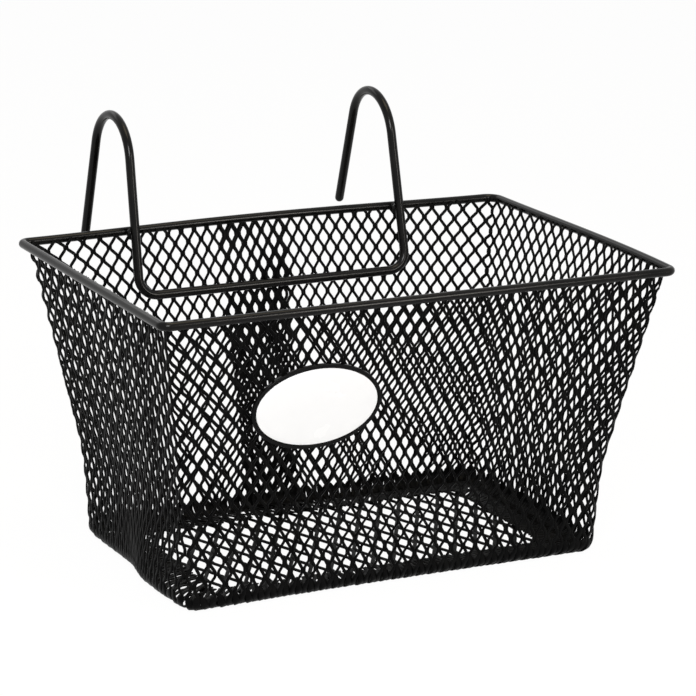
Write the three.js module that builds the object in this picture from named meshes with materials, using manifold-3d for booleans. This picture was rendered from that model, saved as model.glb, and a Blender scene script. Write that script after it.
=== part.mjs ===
// Hook-on bicycle basket: a flared tub of expanded metal on a wire rim, hung by one bent hook wire.
// Millimetres, +Z up, front towards -Y, hooks at the back (+Y).
// The origin is the middle of the floor sheet's underside, where its strands cross.
import * as THREE from 'three';
import { mergeGeometries, mergeVertices } from 'three/addons/utils/BufferGeometryUtils.js';
import Module from 'manifold-3d';

// Gap kept between pieces that touch
const CLEARANCE = 0.3;

// Rim wire: centreline size, height and bend
const RIM_LENGTH = 340;
const RIM_DEPTH = 232;
const RIM_HEIGHT = 187;
const RIM_WIRE = 5.5;
const RIM_CORNER = 5;

// Expanded sheet: thickness, and the net of diamond gaps cut in it
const SHEET = 1.4;
const NET_PITCH = 32;
const NET_RISE = 52;
const STRAND = 4;
const NET_BORDER = 6;

// Wall section: insets are measured inwards from the rim's centreline to the middle of the sheet
const WALL_ABOVE_RIM = 2;
const WAIST_INSET = 26.5;
const WAIST_HEIGHT = 57;
const FOOT_INSET = 29.5;
const FOOT_RADIUS = 7;
const FOOT_RING = 2;
const FOOT_STEP = 4;
const FLANGE_WIDTH = 20;
const WALL_CORNER_TOP = 3;
const WALL_CORNER_FOOT = 12;
const FLANGE_CORNER = 2;

// Overlap of the wall strip's two ends on the back, left of the middle seen from the front
const SEAM_X = -10;
const SEAM_OVERLAP = 44;
const SEAM_STEP = 8;

// Floor sheet under the flanges
const FLOOR_CORNER = 8;

// Hook wire: both hooks and the bar across the inside of the back are one wire.
// The hooks lean towards the middle and their tails splay backwards, in degrees.
const HOOK_WIRE = 6;
const HOOK_SPACING = 191;
const HOOK_RISE_LEFT = 70.5;
const HOOK_RISE_RIGHT = 73;
const HOOK_LEAN_LEFT = 0.7;
const HOOK_LEAN_RIGHT = 1.8;
const HOOK_CROWN_RADIUS = 30;
const HOOK_TAIL = 69;
const HOOK_TAIL_SPLAY_LEFT = 16;
const HOOK_TAIL_SPLAY_RIGHT = 21;
const BAR_DROP = 39;
const BAR_BEND_RADIUS = 12;

// Weld beads between the hook legs and the rim
const WELD_LENGTH = 10;
const WELD_HEIGHT = 10;
const WELD_BITE = 2.5;

// Oval plate on the front, held by two tabs folded behind the sheet
const PLATE_X = -69.5;
const PLATE_HEIGHT = 126;
const PLATE_LENGTH = 85;
const PLATE_WIDTH = 55;
const PLATE_THICKNESS = 2.4;
const PLATE_BEZEL = 2.5;
const PLATE_RECESS = 1;
const PLATE_FACE = 0.6;
const TAB_SPACING = 32;
const TAB_WIDTH = 6;
const TAB_THICKNESS = 1;
const TAB_FOLD = 9;

// Facets: the curve classes divide a round stretch twice as finely as they are asked to
const CORNER_STEPS = 3;
const RIM_CORNER_STEPS = 6;
const RIM_BEVEL_STEPS = 2;
const RIM_CORE = 0.6;
const WIRE_SIDES = 10;
const WIRE_STEPS = 96;
const WELD_SIDES = 16;
const OVAL_SIDES = 40;

const wasm = await Module();
wasm.setup();

function toSolid(geometry) {
  const bare = geometry.clone();
  bare.deleteAttribute('normal');
  bare.deleteAttribute('uv');
  const merged = mergeVertices(bare);
  return new wasm.Manifold(new wasm.Mesh({
    numProp: 3,
    vertProperties: new Float32Array(merged.attributes.position.array),
    triVerts: new Uint32Array(merged.index.array),
  }));
}

function toGeometry(solid) {
  const { vertProperties, triVerts } = solid.getMesh();
  const geometry = new THREE.BufferGeometry();
  geometry.setAttribute('position', new THREE.BufferAttribute(vertProperties, 3));
  geometry.setIndex(new THREE.BufferAttribute(triVerts, 1));
  geometry.computeVertexNormals();
  return geometry;
}

// Middle line of the wall's section as [inset, height] points, from the top edge to the flange's edge.
// Under the foot's curl a ring stands on the ground, and the flange steps up from it onto the floor sheet.
const wallTop = RIM_HEIGHT + WALL_ABOVE_RIM;
const topInset = RIM_WIRE / 2 + CLEARANCE + SHEET / 2;
const ringHeight = SHEET / 2;
const flangeHeight = SHEET + CLEARANCE + SHEET / 2;
const curlInset = FOOT_INSET + FOOT_RADIUS;
const flangeInset = curlInset + FOOT_RING + FOOT_STEP;
const wallLean = Math.atan((WAIST_INSET - topInset) / (wallTop - WAIST_HEIGHT));

function sectionLine() {
  const line = [new THREE.Vector2(topInset, wallTop), new THREE.Vector2(WAIST_INSET, WAIST_HEIGHT)];
  for (let step = 0; step <= CORNER_STEPS; step += 1) {
    const turn = (Math.PI / 2) * (step / CORNER_STEPS);
    line.push(new THREE.Vector2(
      curlInset - FOOT_RADIUS * Math.cos(turn),
      ringHeight + FOOT_RADIUS * (1 - Math.sin(turn)),
    ));
  }
  line.push(new THREE.Vector2(curlInset + FOOT_RING, ringHeight));
  line.push(new THREE.Vector2(flangeInset, flangeHeight));
  line.push(new THREE.Vector2(curlInset + FLANGE_WIDTH, flangeHeight));
  return line;
}

// The middle line moved towards the inside of the basket by a distance, with mitred corners.
function movedLine(line, distance) {
  return line.map((point, index) => {
    const before = line[Math.max(index - 1, 0)];
    const after = line[Math.min(index + 1, line.length - 1)];
    const arriving = (index > 0 ? point.clone().sub(before) : after.clone().sub(point)).normalize();
    const leaving = (index < line.length - 1 ? after.clone().sub(point) : arriving.clone()).normalize();
    const mitre = arriving.clone().add(leaving).normalize();
    const inward = new THREE.Vector2(-mitre.y, mitre.x);
    return point.clone().addScaledVector(inward, distance / mitre.dot(leaving));
  });
}

// Closed section of the sheet: down the outside and back up the inside.
function sectionLoop(shift) {
  const line = sectionLine();
  const outside = movedLine(line, shift - SHEET / 2);
  const inside = movedLine(line, shift + SHEET / 2);
  return [...outside, ...inside.reverse()];
}

// The corners are sharp at the rim and rounder down to the waist.
function cornerRadius(inset) {
  const share = THREE.MathUtils.clamp((inset - topInset) / (WAIST_INSET - topInset), 0, 1);
  const radius = THREE.MathUtils.lerp(WALL_CORNER_TOP, WALL_CORNER_FOOT, share);
  return Math.max(radius - Math.max(inset - FOOT_INSET, 0), FLANGE_CORNER);
}

// Places of the sections along one wall that faces -Y: round half a corner, along, round half a corner.
// A place is a corner's turn, or a position along the straight part at the seam.
function cornerPlaces(side) {
  const places = [];
  for (let step = 0; step <= CORNER_STEPS; step += 1) {
    places.push({ side, turn: (Math.PI / 4) * (1 - step / CORNER_STEPS), shift: 0 });
  }
  return side < 0 ? places : places.reverse();
}

function sectionAt(place, length, depth) {
  return sectionLoop(place.shift).map(({ x: inset, y: height }) => {
    const faceY = -(depth / 2 - inset);
    if (place.side === undefined) {
      return new THREE.Vector3(place.along, faceY, height);
    }
    const radius = cornerRadius(inset);
    const centreX = length / 2 - inset - radius;
    const isEnd = place.turn === Math.PI / 4;
    const reach = centreX + radius * Math.sin(place.turn) - (isEnd ? CLEARANCE / Math.SQRT2 : 0);
    return new THREE.Vector3(place.side * reach, faceY + radius * (1 - Math.cos(place.turn)), height);
  });
}

// Solid between neighbouring sections, closed by a cap at each end.
function loft(sections) {
  const count = sections[0].length;
  const index = [];
  for (let row = 0; row + 1 < sections.length; row += 1) {
    for (let point = 0; point < count; point += 1) {
      const next = (point + 1) % count;
      const a = row * count + point;
      const b = row * count + next;
      index.push(a, b, a + count, b, b + count, a + count);
    }
  }
  const caps = THREE.ShapeUtils.triangulateShape(sectionLoop(0), []);
  const last = (sections.length - 1) * count;
  for (const [a, b, c] of caps) {
    index.push(a, c, b, last + a, last + b, last + c);
  }
  const geometry = new THREE.BufferGeometry();
  geometry.setFromPoints(sections.flat());
  geometry.setIndex(index);
  return geometry;
}

// Prism of an outline drawn on the XZ plane, running from front to back.
function prismAlongY(shape, from, to) {
  const geometry = new THREE.ExtrudeGeometry(shape, { depth: to - from, bevelEnabled: false });
  geometry.rotateX(Math.PI / 2);
  geometry.translate(0, to, 0);
  return geometry;
}

function diamond(x, z, width, height) {
  return new THREE.Shape([
    new THREE.Vector2(x - width / 2, z),
    new THREE.Vector2(x, z - height / 2),
    new THREE.Vector2(x + width / 2, z),
    new THREE.Vector2(x, z + height / 2),
  ]);
}

// Centres of the net's gaps: every second row is moved by half a pitch, and strands cross at 0, 0.
function gapCentres(reachX, reachZ, isInside) {
  const centres = [];
  const rows = Math.ceil(reachZ / (NET_RISE / 2));
  const columns = Math.ceil(reachX / NET_PITCH);
  for (let row = -rows; row <= rows; row += 1) {
    for (let column = -columns; column <= columns; column += 1) {
      const x = (column + (row % 2 === 0 ? 0.5 : 0)) * NET_PITCH;
      const z = row * (NET_RISE / 2);
      if (isInside(x, z)) {
        centres.push([x, z]);
      }
    }
  }
  return centres;
}

// How far outside the border the centre of a gap that is trimmed by it may lie
const spareX = NET_PITCH / 4;
const spareZ = NET_RISE / 4;

// Share of a rhombus that stays open between strands
const strandGap = (NET_PITCH * NET_RISE) / Math.hypot(NET_PITCH, NET_RISE);
const openShare = 1 - STRAND / strandGap;

function insetAt(height) {
  const share = (wallTop - height) / (wallTop - WAIST_HEIGHT);
  if (height > WAIST_HEIGHT) {
    return topInset + (WAIST_INSET - topInset) * share;
  }
  const lowShare = (WAIST_HEIGHT - height) / (WAIST_HEIGHT - ringHeight - FOOT_RADIUS);
  return WAIST_INSET + (FOOT_INSET - WAIST_INSET) * Math.min(lowShare, 1);
}

// Net of a wall that faces -Y: gaps trimmed by a plain border along the wall's edges.
function wallNet(length, depth) {
  const low = ringHeight + FOOT_RADIUS / 2;
  const high = RIM_HEIGHT - RIM_WIRE / 2 - NET_BORDER;
  const reach = (height) => (
    length / 2 - insetAt(height) - cornerRadius(insetAt(height)) / 2 - NET_BORDER
  );
  const middle = (low + high) / 2;
  const centres = gapCentres(length / 2, (high - low) / 2, (x, z) => {
    const height = middle + z;
    const isLevel = height > low - spareZ && height < high + spareZ;
    return isLevel && Math.abs(x) < reach(height) + spareX;
  });
  const field = new THREE.Shape([
    new THREE.Vector2(-reach(low), low),
    new THREE.Vector2(reach(low), low),
    new THREE.Vector2(reach(WAIST_HEIGHT), WAIST_HEIGHT),
    new THREE.Vector2(reach(high), high),
    new THREE.Vector2(-reach(high), high),
    new THREE.Vector2(-reach(WAIST_HEIGHT), WAIST_HEIGHT),
  ]);
  const front = -depth / 2;
  const back = -depth / 2 + curlInset;
  const gaps = centres.map(([x, z]) => prismAlongY(
    diamond(x, middle + z, NET_PITCH * openShare, NET_RISE * openShare),
    front,
    back,
  ));
  return toSolid(mergeGeometries(gaps)).intersect(toSolid(prismAlongY(field, front, back)));
}

function wallSolid(places, length, depth) {
  const sections = places.map((place) => sectionAt(place, length, depth));
  return toSolid(loft(sections)).subtract(wallNet(length, depth));
}

// Whole wall from corner to corner
function wholeWall(length, depth) {
  return wallSolid([...cornerPlaces(-1), ...cornerPlaces(1)], length, depth);
}

// Back wall: the right end of the strip runs flat over the seam, the left end steps inside it.
// Both leaves are built facing -Y and turned round afterwards, so positions along them are reversed.
const seamShift = SHEET + CLEARANCE;
const seamLeftEnd = -SEAM_X + SEAM_OVERLAP / 2;
const seamRightEnd = -SEAM_X - SEAM_OVERLAP / 2;

function backRightWall() {
  const places = [...cornerPlaces(-1), { along: seamLeftEnd, shift: 0 }];
  return wallSolid(places, RIM_LENGTH, RIM_DEPTH);
}

function backLeftWall() {
  const stepStart = seamLeftEnd + CLEARANCE;
  const places = [
    { along: seamRightEnd, shift: seamShift },
    { along: stepStart, shift: seamShift },
    { along: stepStart + SEAM_STEP, shift: 0 },
    ...cornerPlaces(1),
  ];
  return wallSolid(places, RIM_LENGTH, RIM_DEPTH);
}

function roundedRectangle(path, length, depth, radius) {
  const x = length / 2 - radius;
  const y = depth / 2 - radius;
  path.absarc(x, -y, radius, -Math.PI / 2, 0, false);
  path.absarc(x, y, radius, 0, Math.PI / 2, false);
  path.absarc(-x, y, radius, Math.PI / 2, Math.PI, false);
  path.absarc(-x, -y, radius, Math.PI, 1.5 * Math.PI, false);
  path.closePath();
  return path;
}

// Rim: a closed round wire, its section rounded off from a narrow core
function rimSolid(wire) {
  const round = wire / 2 - RIM_CORE;
  const shape = roundedRectangle(
    new THREE.Shape(), RIM_LENGTH + 2 * RIM_CORE, RIM_DEPTH + 2 * RIM_CORE, RIM_CORNER + RIM_CORE,
  );
  shape.holes.push(roundedRectangle(
    new THREE.Path(), RIM_LENGTH - 2 * RIM_CORE, RIM_DEPTH - 2 * RIM_CORE, RIM_CORNER - RIM_CORE,
  ));
  const geometry = new THREE.ExtrudeGeometry(shape, {
    depth: 2 * RIM_CORE,
    curveSegments: RIM_CORNER_STEPS / 2,
    bevelSize: round,
    bevelThickness: round,
    bevelSegments: RIM_BEVEL_STEPS,
  });
  geometry.translate(0, 0, RIM_HEIGHT - RIM_CORE);
  return toSolid(geometry);
}

function floorSolid() {
  const length = RIM_LENGTH - 2 * (flangeInset + CLEARANCE);
  const depth = RIM_DEPTH - 2 * (flangeInset + CLEARANCE);
  const reachX = length / 2 - NET_BORDER;
  const reachY = depth / 2 - NET_BORDER;
  const sheet = new THREE.ExtrudeGeometry(
    roundedRectangle(new THREE.Shape(), length, depth, FLOOR_CORNER),
    { depth: SHEET, curveSegments: CORNER_STEPS, bevelEnabled: false },
  );
  const field = new THREE.ExtrudeGeometry(
    roundedRectangle(new THREE.Shape(), 2 * reachX, 2 * reachY, FLOOR_CORNER),
    { depth: 3 * SHEET, curveSegments: CORNER_STEPS, bevelEnabled: false },
  );
  field.translate(0, 0, -SHEET);
  const isInside = (x, y) => Math.abs(x) < reachX + spareX && Math.abs(y) < reachY + spareZ;
  const gaps = gapCentres(length / 2, depth / 2, isInside).map(([x, y]) => {
    const gap = new THREE.ExtrudeGeometry(
      diamond(x, y, NET_PITCH * openShare, NET_RISE * openShare),
      { depth: 3 * SHEET, bevelEnabled: false },
    );
    gap.translate(0, 0, -SHEET);
    return gap;
  });
  const net = toSolid(mergeGeometries(gaps)).intersect(toSolid(field));
  return toSolid(sheet).subtract(net);
}

// Arc about a centre, from one direction towards another square to it
class Arc extends THREE.Curve {
  constructor(centre, radius, from, towards, angle) {
    super();
    Object.assign(this, { centre, radius, from, towards, angle });
  }

  getPoint(t, target = new THREE.Vector3()) {
    const turn = this.angle * t;
    return target.copy(this.centre)
      .addScaledVector(this.from, this.radius * Math.cos(turn))
      .addScaledVector(this.towards, this.radius * Math.sin(turn));
  }
}

// Hook legs: straight lines that clear the seam at the bar and the sheet's inner face at the rim.
const innerFaceToWire = SHEET / 2 / Math.cos(wallLean) + CLEARANCE + HOOK_WIRE / 2;
const barHeight = RIM_HEIGHT - BAR_DROP;
const legRimY = RIM_DEPTH / 2 - insetAt(RIM_HEIGHT) - innerFaceToWire - CLEARANCE;
const barY = RIM_DEPTH / 2 - insetAt(barHeight) - innerFaceToWire - seamShift / Math.cos(wallLean);
const legUp = new THREE.Vector3(0, legRimY - barY, BAR_DROP).normalize();

// One half of the hook wire's centreline, from the tail's tip to the bar's middle.
// It is drawn upright from the bar's corner, then leant towards the middle.
function hookHalf({ side, rise, lean, splay }) {
  const leanAngle = THREE.MathUtils.degToRad(lean);
  const splayAngle = THREE.MathUtils.degToRad(splay);
  const corner = new THREE.Vector3(side * HOOK_SPACING / 2, barY, barHeight);
  const leant = (y, z) => new THREE.Vector3(-side * z * Math.sin(leanAngle), y, z * Math.cos(leanAngle));

  // Crown centre: as far from the leg's line as its radius, below the top of the hook
  const crownHeight = BAR_DROP + rise - HOOK_CROWN_RADIUS;
  const crownY = (HOOK_CROWN_RADIUS + crownHeight * legUp.y) / legUp.z;
  const centre = corner.clone().add(leant(crownY, crownHeight));
  const tailDown = leant(Math.sin(splayAngle), -Math.cos(splayAngle));
  const tailOut = leant(Math.cos(splayAngle), Math.sin(splayAngle));
  const tailTop = centre.clone().addScaledVector(tailOut, HOOK_CROWN_RADIUS);
  const tip = tailTop.clone().addScaledVector(tailDown, HOOK_TAIL);
  const crownTurn = Math.PI - splayAngle - Math.atan2(legUp.y, legUp.z);
  const crown = new Arc(centre, HOOK_CROWN_RADIUS, tailOut, tailDown.clone().negate(), crownTurn);
  const legTop = centre.clone().addScaledVector(leant(legUp.z, -legUp.y), -HOOK_CROWN_RADIUS);

  // Bend between the leg and the bar
  const up = leant(legUp.y, legUp.z);
  const inwards = new THREE.Vector3(-side, 0, 0);
  const opening = up.angleTo(inwards);
  const bendReach = BAR_BEND_RADIUS / Math.tan(opening / 2);
  const legFoot = corner.clone().addScaledVector(up, bendReach);
  const barStart = corner.clone().addScaledVector(inwards, bendReach);
  const middle = up.clone().add(inwards).normalize();
  const bendCentre = corner.clone().addScaledVector(middle, BAR_BEND_RADIUS / Math.sin(opening / 2));
  const bendFrom = legFoot.clone().sub(bendCentre).normalize();
  const bend = new Arc(bendCentre, BAR_BEND_RADIUS, bendFrom, up.clone().negate(), Math.PI - opening);
  return { tip, tailTop, crown, legTop, legFoot, bend, barStart };
}

function reversed(arc) {
  const across = arc.from.clone().multiplyScalar(Math.cos(arc.angle))
    .addScaledVector(arc.towards, Math.sin(arc.angle));
  const back = arc.from.clone().multiplyScalar(Math.sin(arc.angle))
    .addScaledVector(arc.towards, -Math.cos(arc.angle));
  return new Arc(arc.centre, arc.radius, across, back, arc.angle);
}

const hookLeft = hookHalf({
  side: -1, rise: HOOK_RISE_LEFT, lean: HOOK_LEAN_LEFT, splay: HOOK_TAIL_SPLAY_LEFT,
});
const hookRight = hookHalf({
  side: 1, rise: HOOK_RISE_RIGHT, lean: HOOK_LEAN_RIGHT, splay: HOOK_TAIL_SPLAY_RIGHT,
});

function hookSolid() {
  const path = new THREE.CurvePath();
  path.add(new THREE.LineCurve3(hookLeft.tip, hookLeft.tailTop));
  path.add(hookLeft.crown);
  path.add(new THREE.LineCurve3(hookLeft.legTop, hookLeft.legFoot));
  path.add(hookLeft.bend);
  path.add(new THREE.LineCurve3(hookLeft.barStart, hookRight.barStart));
  path.add(reversed(hookRight.bend));
  path.add(new THREE.LineCurve3(hookRight.legFoot, hookRight.legTop));
  path.add(reversed(hookRight.crown));
  path.add(new THREE.LineCurve3(hookRight.tailTop, hookRight.tip));
  const section = new THREE.Shape().absarc(0, 0, HOOK_WIRE / 2, 0, 2 * Math.PI, false);
  const tube = new THREE.ExtrudeGeometry(section, {
    steps: WIRE_STEPS,
    curveSegments: WIRE_SIDES / 2,
    extrudePath: path,
  });
  const ends = [hookLeft.tip, hookRight.tip].map((tip) => {
    const end = new THREE.SphereGeometry(HOOK_WIRE / 2, WIRE_SIDES, WIRE_SIDES / 2);
    return toSolid(end.translate(tip.x, tip.y, tip.z));
  });
  return toSolid(tube).add(ends[0]).add(ends[1]);
}

// Weld bead: an oval lump between a hook leg and the rim, hollowed where the two wires pass through it
const weldMiddleY = (legRimY + HOOK_WIRE / 2 + RIM_DEPTH / 2 - RIM_WIRE / 2) / 2;
const weldThickness = RIM_DEPTH / 2 - RIM_WIRE / 2 - legRimY - HOOK_WIRE / 2 + 2 * WELD_BITE;

function weldLump(side, extra) {
  const lean = side < 0 ? HOOK_LEAN_LEFT : HOOK_LEAN_RIGHT;
  const reach = HOOK_SPACING / 2 - BAR_DROP * Math.tan(THREE.MathUtils.degToRad(lean));
  const lump = new THREE.SphereGeometry(0.5, WELD_SIDES, WELD_SIDES / 2);
  lump.scale(WELD_LENGTH + 2 * extra, weldThickness + 2 * extra, WELD_HEIGHT + 2 * extra);
  return lump.translate(side * reach, weldMiddleY, RIM_HEIGHT);
}

// Room for a weld in a back wall, which is built facing -Y and turned round afterwards
function weldRoom(side) {
  return toSolid(weldLump(side, CLEARANCE).rotateZ(Math.PI));
}

function weldSolid(side) {
  const half = side < 0 ? hookLeft : hookRight;
  const leg = new THREE.ExtrudeGeometry(
    new THREE.Shape().absarc(0, 0, HOOK_WIRE / 2 + CLEARANCE, 0, 2 * Math.PI, false),
    { steps: 1, curveSegments: WIRE_SIDES / 2, extrudePath: new THREE.LineCurve3(half.legFoot, half.legTop) },
  );
  return toSolid(weldLump(side, 0)).subtract(rimSolid(RIM_WIRE + 2 * CLEARANCE)).subtract(toSolid(leg));
}

// Oval plate: drawn flat, with +Z out of the front wall, then turned onto the wall by its group
function oval(length, width) {
  return new THREE.Shape().absellipse(0, 0, length / 2, width / 2, 0, 2 * Math.PI, false);
}

function ovalDisc(length, width, from, thickness) {
  const disc = new THREE.ExtrudeGeometry(oval(length, width), {
    depth: thickness,
    curveSegments: OVAL_SIDES / 2,
    bevelEnabled: false,
  });
  return disc.translate(0, 0, from);
}

const plateSeat = SHEET / 2 + CLEARANCE;
const plateGroup = new THREE.Group();
plateGroup.position.set(PLATE_X, -(RIM_DEPTH / 2 - insetAt(PLATE_HEIGHT)), PLATE_HEIGHT);
plateGroup.rotation.x = Math.PI / 2 + wallLean;
plateGroup.updateMatrixWorld();

// A tab's stem through the sheet and its fold behind it
function tab(side) {
  const behind = -plateSeat - TAB_THICKNESS;
  const stemLength = plateSeat - behind + TAB_THICKNESS;
  const stem = new THREE.BoxGeometry(TAB_THICKNESS, TAB_WIDTH, stemLength);
  stem.translate(side * TAB_SPACING / 2, 0, behind + stemLength / 2);
  const fold = new THREE.BoxGeometry(TAB_FOLD, TAB_WIDTH, TAB_THICKNESS);
  fold.translate(side * (TAB_SPACING / 2 + TAB_FOLD / 2 - TAB_THICKNESS / 2), 0, behind + TAB_THICKNESS / 2);
  return toSolid(stem).add(toSolid(fold));
}

function tabSlot(side) {
  const slot = new THREE.BoxGeometry(
    TAB_THICKNESS + 2 * CLEARANCE, TAB_WIDTH + 2 * CLEARANCE, 2 * (SHEET + PLATE_THICKNESS),
  );
  slot.translate(side * TAB_SPACING / 2, 0, 0);
  return toSolid(slot.applyMatrix4(plateGroup.matrixWorld));
}

function plateTray() {
  const recessFrom = plateSeat + PLATE_THICKNESS - PLATE_RECESS;
  const tray = toSolid(ovalDisc(PLATE_LENGTH, PLATE_WIDTH, plateSeat, PLATE_THICKNESS));
  const recess = ovalDisc(
    PLATE_LENGTH - 2 * PLATE_BEZEL, PLATE_WIDTH - 2 * PLATE_BEZEL, recessFrom, 2 * PLATE_RECESS,
  );
  return tray.subtract(toSolid(recess)).add(tab(-1)).add(tab(1));
}

function plateFace() {
  const edge = PLATE_BEZEL + CLEARANCE;
  const from = plateSeat + PLATE_THICKNESS - PLATE_RECESS + CLEARANCE;
  return ovalDisc(PLATE_LENGTH - 2 * edge, PLATE_WIDTH - 2 * edge, from, PLATE_FACE);
}

const BLACK_PAINT = { color: 0x0b0b0c, roughness: 0.35, metalness: 0.2 };
const WHITE_ENAMEL = { color: 0xf4f4f1, roughness: 0.3, metalness: 0 };

function piece(name, geometry, finish, parent, turn = 0) {
  const mesh = new THREE.Mesh(geometry, new THREE.MeshStandardMaterial(finish));
  mesh.name = name;
  mesh.rotation.z = turn;
  parent.add(mesh);
}

const basket = new THREE.Group();

const frontWall = wholeWall(RIM_LENGTH, RIM_DEPTH).subtract(tabSlot(-1)).subtract(tabSlot(1));
piece('wall_front', toGeometry(frontWall), BLACK_PAINT, basket);
const endWall = wholeWall(RIM_DEPTH, RIM_LENGTH);
piece('wall_left', toGeometry(endWall), BLACK_PAINT, basket, -Math.PI / 2);
piece('wall_right', toGeometry(endWall), BLACK_PAINT, basket, Math.PI / 2);

piece('wall_back_left', toGeometry(backLeftWall().subtract(weldRoom(-1))), BLACK_PAINT, basket, Math.PI);
piece('wall_back_right', toGeometry(backRightWall().subtract(weldRoom(1))), BLACK_PAINT, basket, Math.PI);

piece('floor_sheet', toGeometry(floorSolid()), BLACK_PAINT, basket);
piece('rim_wire', toGeometry(rimSolid(RIM_WIRE)), BLACK_PAINT, basket);
piece('hook_wire', toGeometry(hookSolid()), BLACK_PAINT, basket);
piece('hook_weld_left', toGeometry(weldSolid(-1)), BLACK_PAINT, basket);
piece('hook_weld_right', toGeometry(weldSolid(1)), BLACK_PAINT, basket);

basket.add(plateGroup);
piece('plate_tray', toGeometry(plateTray()), BLACK_PAINT, plateGroup);
piece('plate_face', plateFace(), WHITE_ENAMEL, plateGroup);

export default basket;
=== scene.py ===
import math

import bmesh
import bpy
import numpy as np
from mathutils import Matrix, Vector, noise


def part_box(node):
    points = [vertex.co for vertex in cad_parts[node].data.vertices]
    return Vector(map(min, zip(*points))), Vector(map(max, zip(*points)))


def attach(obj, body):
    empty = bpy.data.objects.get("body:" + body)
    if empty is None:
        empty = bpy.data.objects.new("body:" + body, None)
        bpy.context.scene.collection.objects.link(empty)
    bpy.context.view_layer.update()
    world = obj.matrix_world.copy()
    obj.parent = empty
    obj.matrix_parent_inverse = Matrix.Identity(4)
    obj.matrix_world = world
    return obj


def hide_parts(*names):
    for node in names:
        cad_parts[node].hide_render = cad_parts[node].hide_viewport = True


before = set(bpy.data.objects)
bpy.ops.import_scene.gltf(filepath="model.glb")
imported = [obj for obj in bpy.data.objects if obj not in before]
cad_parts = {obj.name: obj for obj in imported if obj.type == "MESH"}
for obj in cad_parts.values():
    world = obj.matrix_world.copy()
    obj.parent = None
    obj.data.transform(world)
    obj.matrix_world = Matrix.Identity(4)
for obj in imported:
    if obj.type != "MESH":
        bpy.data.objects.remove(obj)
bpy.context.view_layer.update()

# Sizes are written in millimetres and turned into metres here.
MM = 0.001
CLEARANCE = 0.3 * MM

# Rim wire: centreline size, height and bends, and the bows of its back and right side.
# The right bow is highest towards the front, and its level brings the bow's shape to about 1 there.
RIM_LENGTH = 340 * MM
RIM_DEPTH = 232 * MM
RIM_HEIGHT = 187 * MM
RIM_WIRE = 5.5 * MM
RIM_CORNER = 5 * MM
RIM_CORNER_BACK_RIGHT = 9 * MM
RIM_BOW_BACK = 2 * MM
RIM_BOW_RIGHT = 1.3 * MM
RIGHT_BOW_LEVEL = 0.84

# Wall section: insets run inwards from the rim's centreline to the middle of the sheet
SHEET = 1.4 * MM
WALL_ABOVE_RIM = 2 * MM
WAIST_INSET = 26.5 * MM
WAIST_HEIGHT = 57 * MM
WAIST_ROUND = 14 * MM
FOOT_INSET = 29.5 * MM
FOOT_RADIUS = 7 * MM
FOOT_RING = 2 * MM
FOOT_STEP = 4 * MM
FLANGE_WIDTH = 20 * MM
WALL_CORNER_TOP = 1 * MM
WALL_CORNER_FOOT = 12 * MM
FLANGE_CORNER = 2 * MM
SEAM_X = -10 * MM
SEAM_OVERLAP = 44 * MM
SEAM_STEP = 8 * MM

# The cells are pressed shut round the foot and partly shut on the flange
FOOT_SWING = 0.25
FOOT_SPREAD = 2.2
FLANGE_SHUT = 0.35
SHUT_FADE = 3 * MM

# The foot is pushed out along the left side, and forwards at the front left corner.
# Each step of the left bulge has a share of it, a start from -1 at the rear to 1 at the front, and a run.
LEFT_BULGE = 8 * MM
LEFT_BULGE_STEPS = [(0.2, -1, 0.3), (0.65, -0.1, 0.45), (-0.25, 0.5, 0.5)]
FRONT_BULGE = 3 * MM

# Expanded metal: a ribbon's width and thickness, its tilt at the rim and the waist, and its bonds
RIBBON_WIDTH = 2.1 * MM
RIBBON_THICKNESS = 1.0 * MM
RIBBON_EDGE = 0.3 * MM
RIBBON_LIFT = 1.0 * MM
LONG_WALL_TILT = math.radians(-18)
LONG_WAIST_TILT = math.radians(-50)
LEFT_WALL_TILT = math.radians(-6)
LEFT_WAIST_TILT = math.radians(2)
RIGHT_WALL_TILT = math.radians(6)
RIGHT_WAIST_TILT = math.radians(18)
FLAT_TILT = math.radians(-8)
BOND_SHARE = 0.38
BOND_BEND = 0.05
BOND_LAP = 0.9
SHEET_WOBBLE = 0.18 * MM
WOBBLE_SPAN = 5

# Rows: arcs that are highest at the middle of each wall and straighten towards the foot.
# A mark is half a row; the marks count down from the top edge at the middle of the back.
TOP_TRIM = 1.5 * MM
FRONT_HALF_ROW = 7.78 * MM
BACK_HALF_ROW = 7.15 * MM
FRONT_ARCH = 11 * MM
BACK_ARCH = 16 * MM
END_ARCH = 13 * MM
FOOT_MARK = 26.5
ROW_PHASE = 0.07

# Ribbons counted round the basket: each column of cells has two
FRONT_FOLD = -0.55
FRONT_RIBBONS = 65.07
BACK_RIBBONS = 67
LEFT_RIBBONS = 38.78
RIGHT_RIBBONS = 40.48
BACK_RIGHT_FOLD = 0.536

# Columns are wider apart towards a wall's ends by its fan, and towards one end by its skew
FRONT_FAN = 0.127
FRONT_SKEW = -0.056
BACK_LEFT_FAN = 0.18
BACK_LEFT_SKEW = 0.02
BACK_RIGHT_FAN = 0.12
BACK_RIGHT_SKEW = -0.07
END_SKEW = 0.236
END_FOOT_FAN = 0.3

# Floor sheet
FLOOR_CORNER = 8 * MM
FLOOR_CELL = 14.45 * MM
FLOOR_RISE = 30.6 * MM
FLOOR_SKEW = 0.07
FLOOR_STRAND = 2.7 * MM
FLOOR_SHIFT_X = 1 * MM
FLOOR_SHIFT_Y = 9 * MM

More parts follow.
